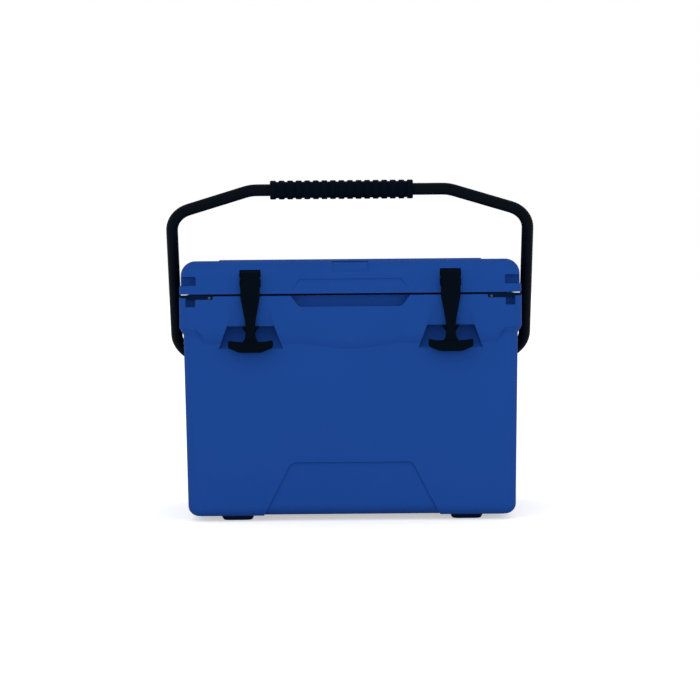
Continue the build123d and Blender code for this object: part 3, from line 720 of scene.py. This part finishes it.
@dataclass
class RubberLatch:
    """One T-latch: an eye on its pin, a neck that tapers to a stem, a cross pull and a catch.

    Lengths are in millimetres. Each widths entry is a height and the half width there.

    Attributes:
        side: Which end of the front it is on.
        middle_x: How far its middle is from the box's.
        pin_y: The pin's place, front to back.
        pin_z: The pin's height.
        pin_radius: The pin's radius.
        pin_reach: Length of the tool that bores the pin's hole.
        eye_radius: Radius of the eye round the pin.
        eye_sides: How many sides the eye has.
        back_y: The neck's back face.
        thick: The neck's thickness.
        neck: The neck's widths, from the eye down.
        pull_top: The pull's upper edge, as half widths and heights from its middle outwards.
        pull_low: The pull's lower edge, in the same way.
        front_y: The pull's front face.
        pull_depth: The pull's thickness, behind its front face.
        catch_top: The top of the catch behind the neck.
        catch_low: Its underside.
        catch_half: Half its width.
        catch_back: Its back face.
        catch_root: How far it is sunk in the neck.
        catch_taper: Its underside's width and depth, as shares of its top's.
        neck_round: Rounding of the neck's edges.
        eye_round: Rounding of the eye's edges.
        pull_round: Rounding of the pull's edges.
        catch_round: Rounding of the catch's edges.
        grain_mm: Size of the grid on which the joined parts are blended.
        blend_rounds: How often the blended skin is smoothed.
        blend_share: How far each round smooths it.
        kept_share: Share of the blended facets that are kept.
    """

    side: Side
    middle_x: float = 143.7
    pin_y: float = -146.0
    pin_z: float = 352.0
    pin_radius: float = 2.6
    pin_reach: float = 40.0
    eye_radius: float = 11.2
    eye_sides: int = 64
    back_y: float = -151.2
    thick: float = 7.0
    neck: Table = (
        (354.0, 13.85),
        (328.0, 13.85),
        (322.5, 13.4),
        (306.0, 10.3),
        (290.0, 7.4),
        (284.0, 6.95),
        (272.0, 6.95),
        (266.0, 7.8),
        (262.0, 10.6),
        (257.0, 11.0),
    )
    pull_top: Table = (
        (0.0, 261.0),
        (12.0, 261.0),
        (22.0, 261.7),
        (30.4, 263.4),
        (32.1, 262.2),
    )
    pull_low: Table = (
        (0.0, 245.8),
        (13.0, 245.8),
        (17.5, 246.6),
        (30.4, 252.2),
        (32.1, 255.2),
    )
    front_y: float = -162.0
    pull_depth: float = 12.0
    catch_top: float = 283.0
    catch_low: float = 275.0
    catch_half: float = 13.0
    catch_back: float = -141.0
    catch_root: float = 2.0
    catch_taper: tuple[float, float] = (0.55, 0.25)
    neck_round: float = 1.1
    eye_round: float = 1.4
    pull_round: float = 2.0
    catch_round: float = 0.8
    grain_mm: float = 0.55
    blend_rounds: int = 5
    blend_share: float = 0.5
    kept_share: float = 0.3

    def build(self, material: bpy.types.Material) -> bpy.types.Object:
        """Models the latch and seats it on its own body.

        Args:
            material: Its rubber.

        Returns:
            The finished piece.
        """
        latch = self.shaped_neck()
        combine(latch, [self.eye(), self.pull(), self.catch()], "UNION")
        self.blend_joins(latch)
        pin = (self.across(0), self.pin_y, self.pin_z)
        combine(latch, [rod(self.pin_radius, pin, self.pin_reach, (0, 90, 0))], "DIFFERENCE")
        name = f"{self.side.word}_latch"
        finish_piece(latch, f"{name}_rubber", material, Body(name), [name], 40.0)
        return latch

    def across(self, offset: float) -> float:
        """The place along X, in millimetres, of an offset from the latch's middle."""
        return self.middle_x * self.side.value + offset

    def shaped_neck(self) -> bpy.types.Object:
        """Cuts a bar into lengths and narrows each cut, from the eye down to the pull."""
        widest = max(half for _, half in self.neck)
        neck = block(
            (self.across(-widest), self.back_y - self.thick, self.neck[-1][0]),
            (self.across(widest), self.back_y, self.neck[0][0]),
        )
        slice_across(neck, [(0, 0, height) for height, _ in self.neck[1:-1]], (0, 0, 1))
        middle = Vector((self.across(0) * MM, 0, 0))
        for height, half in self.neck:
            pick_points(neck, lambda at, z=height * MM: abs(at.z - z) < SAME_PLACE)
            bpy.ops.transform.resize(value=(half / widest, 1, 1), center_override=middle)
        soften(neck, self.neck_round, angle=50.0)
        return neck

    def eye(self) -> bpy.types.Object:
        """Turns the rounded eye round the pin."""
        width = 2 * self.neck[0][1]
        middle = (self.across(0), self.pin_y, self.pin_z)
        eye = rod(self.eye_radius, middle, width, (0, 90, 0), self.eye_sides)
        soften(eye, self.eye_round, angle=60.0)
        return eye

    def pull(self) -> bpy.types.Object:
        """Bends a bar to the pull's upper and lower edges."""
        half = self.pull_top[-1][0]
        pull = block(
            (self.across(-half), self.front_y, self.pull_low[0][1]),
            (self.across(half), self.front_y + self.pull_depth, self.pull_top[0][1]),
        )
        stations = {abs(x) for x, _ in self.pull_top[:-1]} | {abs(x) for x, _ in self.pull_low[:-1]}
        cuts = sorted({sign * x for x in stations for sign in (-1, 1)})
        slice_across(pull, [(self.across(x), 0, 0) for x in cuts], (1, 0, 0))
        for edge in (self.pull_top, self.pull_low):
            base = edge[0][1]
            for x in [*cuts, -half, half]:
                line = Vector((self.across(x), base)) * MM
                pick_points(pull, lambda at, line=line: (at.xz - line).length < SAME_PLACE)
                bpy.ops.transform.translate(value=(0, 0, (between(edge, abs(x)) - base) * MM))
        soften(pull, self.pull_round, angle=50.0)
        return pull

    def catch(self) -> bpy.types.Object:
        """Shapes the wedge behind the neck that hooks under the keeper."""
        front, low = self.back_y - self.catch_root, self.catch_low
        catch = block(
            (self.across(-self.catch_half), front, low),
            (self.across(self.catch_half), self.catch_back, self.catch_top),
        )
        pick_points(catch, lambda at: at.z < low * MM + SAME_PLACE)
        middle = Vector((self.across(0), front, low)) * MM
        bpy.ops.transform.resize(value=(*self.catch_taper, 1), center_override=middle)
        soften(catch, self.catch_round)
        return catch

    def blend_joins(self, latch: bpy.types.Object) -> None:
        """Runs the joined parts into one skin, as the mould does."""
        hold(latch)
        latch.data.remesh_voxel_size = self.grain_mm * MM
        bpy.ops.object.voxel_remesh()
        smooth = latch.modifiers.new("blend", "SMOOTH")
        smooth.factor = self.blend_share
        smooth.iterations = self.blend_rounds
        bpy.ops.object.modifier_apply(modifier=smooth.name)
        thin = latch.modifiers.new("thin", "DECIMATE")
        thin.ratio = self.kept_share
        bpy.ops.object.modifier_apply(modifier=thin.name)


@dataclass
class RibbedGrip:
    """The rubber sleeve on the bail's top: rounded ribs between narrow grooves, millimetres.

    Attributes:
        start_x: The sleeve's left end.
        axis_y: Its axis, front to back.
        axis_z: Its axis's height.
        ribs: How many ribs it has.
        pitch: From one rib to the next.
        rib: A rib's length.
        radius: A rib's radius.
        groove_radius: The radius in the grooves.
        bore_radius: The radius of the tube inside it.
        corner: How far a rib's corners are rounded.
        corner_steps: How many facets a corner takes.
        sides: How many sides the sleeve has.
    """

    start_x: float
    axis_y: float
    axis_z: float
    ribs: int = 17
    pitch: float = 12.2
    rib: float = 8.6
    radius: float = 13.5
    groove_radius: float = 11.7
    bore_radius: float = 8.5
    corner: float = 1.5
    corner_steps: int = 3
    sides: int = 56

    def outline(self) -> list[tuple[float, float]]:
        """The sleeve's outline, as places along it and radii, one rib after another."""
        turns = [step * pi / 2 / self.corner_steps for step in range(self.corner_steps + 1)]
        bend = [(self.corner * (1 - cos(turn)), self.corner * (1 - sin(turn))) for turn in turns]
        rise = [(along, self.radius - drop) for along, drop in bend]
        fall = [(self.rib - along, radius) for along, radius in reversed(rise)]
        rings: list[tuple[float, float]] = []
        for i in range(self.ribs):
            first, last = i == 0, i == self.ribs - 1
            foot = [] if first else [(0.0, self.groove_radius)]
            heel = [] if last else [(self.rib, self.groove_radius)]
            rings += [(i * self.pitch + along, radius) for along, radius in [*foot, *rise, *fall, *heel]]
        return rings

    def build(self, material: bpy.types.Material) -> bpy.types.Object:
        """Draws the sleeve ring by ring, bores it, and seats it on the bail.

        Args:
            material: Its rubber.

        Returns:
            The finished piece.
        """
        rings = self.outline()
        let_go()
        bpy.ops.mesh.primitive_circle_add(
            vertices=self.sides,
            radius=rings[0][1] * MM,
            location=(self.start_x * MM, self.axis_y * MM, self.axis_z * MM),
            rotation=(0, radians(90), 0),
        )
        sleeve = bpy.context.object
        settle(sleeve)
        hold(sleeve)
        bpy.ops.object.mode_set(mode="EDIT")
        bpy.ops.mesh.select_all(action="SELECT")
        for (here, radius), (there, grown) in zip(rings, rings[1:]):
            self.next_ring(there - here, grown / radius, self.start_x + there)
        self.next_ring(0.0, self.bore_radius / rings[-1][1], self.start_x + rings[-1][0])
        self.next_ring(-rings[-1][0], 1.0, self.start_x)
        bpy.ops.mesh.select_all(action="DESELECT")
        bpy.ops.mesh.select_mode(type="EDGE")
        bpy.ops.mesh.select_non_manifold()
        bpy.ops.mesh.bridge_edge_loops()
        bpy.ops.mesh.select_all(action="SELECT")
        bpy.ops.mesh.normals_make_consistent(inside=False)
        let_go()
        finish_piece(sleeve, "ribbed_grip", material, Body.HANDLE, ["handle_grip"], 50.0)
        return sleeve

    def next_ring(self, along: float, growth: float, at_x: float) -> None:
        """Draws the open ring on along X and grows it about the axis."""
        bpy.ops.mesh.extrude_region_move(TRANSFORM_OT_translate={"value": (along * MM, 0, 0)})
        middle = Vector((at_x * MM, self.axis_y * MM, self.axis_z * MM))
        bpy.ops.transform.resize(value=(1, growth, growth), center_override=middle)


@dataclass
class CrossHeads:
    """A set of like screws with a flat head and a cross recess, millimetres.

    Attributes:
        node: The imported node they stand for.
        name: The piece's name.
        places: The middle of each head's face.
        faces: The way the heads face.
        radius: A head's radius.
        height: A head's height.
        shank: The shank's radius.
        length: The shank's length behind the head.
        rings: How many rings a head's face is drawn in.
        ring_share: The width of a ring, as a share of the radius.
        arm_share: Half the cross's length, in the same way.
        slot_share: Half a slot's width, in the same way.
        depth_share: The cross's depth, in the same way.
        overlap: How far the shank starts inside the head.
        head_sides: How many sides a head has.
        shank_sides: How many sides a shank has.
    """

    node: str
    name: str
    places: list[Point]
    faces: Point
    radius: float
    height: float
    shank: float
    length: float
    rings: int = 2
    ring_share: float = 0.26
    arm_share: float = 0.6
    slot_share: float = 0.13
    depth_share: float = 0.55
    overlap: float = 0.1
    head_sides: int = 32
    shank_sides: int = 20

    def build(self, material: bpy.types.Material) -> bpy.types.Object:
        """Models one screw, copies it to its places and joins the set.

        Args:
            material: Its steel.

        Returns:
            The finished piece.
        """
        screws = [self.screw(place) for place in self.places]
        let_go()
        for screw in screws:
            screw.select_set(True)
        bpy.context.view_layer.objects.active = screws[0]
        bpy.ops.object.join()
        finish_piece(screws[0], self.name, material, Body.TUB, [self.node])
        return screws[0]

    def screw(self, place: Point) -> bpy.types.Object:
        """Turns one screw with its head towards the way it faces.

        Args:
            place: The middle of its head's face.

        Returns:
            The screw, in place.
        """
        head = rod(self.radius, (0, 0, -self.height / 2), self.height, (0, 0, 0), self.head_sides)
        pick_faces(head, lambda face: face.normal.z > LOOKS_UP)
        for _ in range(self.rings):
            bpy.ops.mesh.inset(thickness=self.radius * self.ring_share * MM)
        let_go()
        stem = rod(
            self.shank,
            (0, 0, self.overlap - self.height - self.length / 2),
            self.length + 2 * self.overlap,
            (0, 0, 0),
            self.shank_sides,
        )
        combine(head, [stem], "UNION")
        shares = (self.arm_share, self.slot_share, self.depth_share)
        arm, wide, deep = (self.radius * share for share in shares)
        slots = [
            block((-arm, -wide, -deep), (arm, wide, self.height)),
            block((-wide, -arm, -deep), (wide, arm, self.height)),
        ]
        combine(head, slots, "DIFFERENCE")
        head.rotation_mode = "QUATERNION"
        head.rotation_quaternion = Vector(self.faces).to_track_quat("Z", "Y")
        head.location = [v * MM for v in place]
        settle(head)
        return head


# ---------------------------------------------------------------- studio


@dataclass(frozen=True)
class Lamp:
    """One square soft light that faces the box, in metres and watts.

    Attributes:
        name: The light's name.
        place: Where it hangs.
        size: Its edge.
        power: Its power.
    """

    name: str
    place: Point
    size: float
    power: float

    def hang(self, target: Point) -> None:
        """Adds the light.

        Args:
            target: What it faces.
        """
        let_go()
        bpy.ops.object.light_add(type="AREA", location=self.place)
        light = bpy.context.object
        light.name = self.name
        light.data.size = self.size
        light.data.energy = self.power
        aim = Vector(target) - Vector(self.place)
        light.rotation_mode = "QUATERNION"
        light.rotation_quaternion = aim.to_track_quat("-Z", "Y")


@dataclass
class Studio:
    """The pale floor, the soft lights and the camera.

    Attributes:
        distance: From the camera to the box's front plane, metres.
        front_y: The front plane, metres.
        side_step: How far the camera stands from the box's middle, metres to the right.
        eye_height: The camera's height, metres.
        tilt: How far it looks down, degrees.
        roll: How far it leans, degrees.
        lens: Focal length, millimetres.
        sensor: The sensor's width, millimetres.
        sight: How far the camera sees, metres.
        sky: Strength of the surroundings as light.
        floor_edge: The floor's edge, metres.
        floor_colour: The floor's colour, sRGB hex.
        floor_glow: Light that the floor adds to its own where it is seen straight or mirrored.
        target: The place that the lights face, metres.
        lamps: The large light on the left, the one on the right, and the low one behind the camera.
    """

    distance: float = 2.8
    front_y: float = -0.15
    side_step: float = -0.0012
    eye_height: float = 0.374
    tilt: float = 2.57
    roll: float = -0.5
    lens: float = 100.4
    sensor: float = 36.0
    sight: float = 100.0
    sky: float = 0.84
    floor_edge: float = 40.0
    floor_colour: str = "E6E6E6"
    floor_glow: float = 0.5
    target: Point = (0.0, 0.0, 0.22)
    lamps: tuple[Lamp, ...] = (
        Lamp("key", (-1.2, -2.6, 2.6), 2.4, 13.0),
        Lamp("fill", (2.2, -2.2, 1.2), 2.0, 8.0),
        Lamp("front", (0.0, -3.4, 0.35), 1.6, 14.0),
    )

    def build(self) -> None:
        """Sets up the floor, the lights, the world and the camera."""
        self.floor()
        self.world()
        for lamp in self.lamps:
            lamp.hang(self.target)
        self.camera()
        bpy.context.scene.view_settings.view_transform = "Standard"

    @staticmethod
    def seen_strength(
        tree: bpy.types.NodeTree, as_light: float, as_seen: float
    ) -> bpy.types.NodeSocket:
        """Tells a ray that shows its target, straight, mirrored or through glass, from one that lights.

        Args:
            tree: The node tree that takes the nodes.
            as_light: The strength that lights the box.
            as_seen: The strength that is seen.

        Returns:
            The socket that holds the strength.
        """
        rays = add_node(tree, "ShaderNodeLightPath")
        mirrored = add_node(tree, "ShaderNodeMath", {"operation": "ADD", "use_clamp": True})
        tree.links.new(rays.outputs["Is Glossy Ray"], mirrored.inputs[0])
        tree.links.new(rays.outputs["Is Transmission Ray"], mirrored.inputs[1])
        seen = add_node(tree, "ShaderNodeMath", {"operation": "ADD", "use_clamp": True})
        tree.links.new(rays.outputs["Is Camera Ray"], seen.inputs[0])
        tree.links.new(mirrored.outputs["Value"], seen.inputs[1])
        strength = add_node(
            tree,
            "ShaderNodeMapRange",
            {"To Min": as_light, "To Max": as_seen},
            {"Value": seen.outputs["Value"]},
        )
        return strength.outputs["Result"]

    def floor(self) -> None:
        """Lays a wide pale floor that keeps the object's shadow and reads as white."""
        let_go()
        bpy.ops.mesh.primitive_plane_add(size=self.floor_edge)
        floor = bpy.context.object
        floor.name = "studio_floor"
        material, tree = blank_material("pale_studio_floor")
        base = add_node(tree, "ShaderNodeBsdfDiffuse", {"Color": linear(self.floor_colour)})
        strength = self.seen_strength(tree, 0.0, self.floor_glow)
        glow = add_node(tree, "ShaderNodeEmission", {"Color": WHITE}, {"Strength": strength})
        both = add_node(tree, "ShaderNodeAddShader")
        tree.links.new(base.outputs["BSDF"], both.inputs[0])
        tree.links.new(glow.outputs["Emission"], both.inputs[1])
        add_node(tree, "ShaderNodeOutputMaterial", links={"Surface": both.outputs["Shader"]})
        floor.data.materials.append(material)

    def world(self) -> None:
        """Makes the surroundings white where they are seen and softer as light."""
        world = bpy.data.worlds.new("studio")
        bpy.context.scene.world = world
        world.use_nodes = True
        tree = world.node_tree
        tree.nodes.clear()
        strength = self.seen_strength(tree, self.sky, 1.0)
        sky = add_node(tree, "ShaderNodeBackground", {"Color": WHITE}, {"Strength": strength})
        add_node(tree, "ShaderNodeOutputWorld", links={"Surface": sky.outputs["Background"]})

    def camera(self) -> None:
        """Sets the camera in front of the box, about as high as its lid, looking slightly down."""
        let_go()
        bpy.ops.object.camera_add()
        camera = bpy.context.object
        camera.name = "front_camera"
        camera.data.lens = self.lens
        camera.data.sensor_width = self.sensor
        camera.data.clip_end = self.sight
        place = Matrix.Translation((self.side_step, self.front_y - self.distance, self.eye_height))
        pitch = Matrix.Rotation(radians(90.0 - self.tilt), 4, "X")
        lean = Matrix.Rotation(radians(self.roll), 4, "Z")
        camera.matrix_world = place @ pitch @ lean
        bpy.context.scene.camera = camera


def plate_screws() -> CrossHeads:
    """The screw through the front flange of each lock plate."""
    across, front, height = 202.5, -150.4, 324.55
    return CrossHeads(
        node="lock_plate_screws",
        name="lock_plate_cross_screws",
        places=[(side.value * across, front, height) for side in Side],
        faces=(0, -1, 0),
        radius=1.8,
        height=1.4,
        shank=0.9,
        length=8.0,
    )


def foot_screws() -> CrossHeads:
    """The screw that holds each foot, sunk in it from below."""
    across, along, sunk = 167.0, 97.0, 1.0
    return CrossHeads(
        node="foot_screws",
        name="foot_cross_screws",
        places=[(x, y, sunk) for x in (-across, across) for y in (-along, along)],
        faces=(0, 0, -1),
        radius=4.6,
        height=2.6,
        shank=2.4,
        length=8.9,
    )


def main() -> None:
    """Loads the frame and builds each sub-assembly in order."""
    logging.basicConfig(level=logging.INFO, format="%(message)s")
    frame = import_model()
    Studio().build()
    PackedParts().build(frame["nodes"])
    rubber = BLACK_EPDM.material()
    for side in Side:
        RubberLatch(side).build(rubber)
    low, high = (Vector(corner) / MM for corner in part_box("handle_grip"))
    RibbedGrip(low.x, (low.y + high.y) / 2, (low.z + high.z) / 2).build(rubber)
    plate_screws().build(replace(DULL_ZINC, name="dull_zinc_plated_screw_head").material())
    foot_screws().build(BrightSteel("turned_stainless_screw").material())
    let_go()


if __name__ == "__main__":
    main()
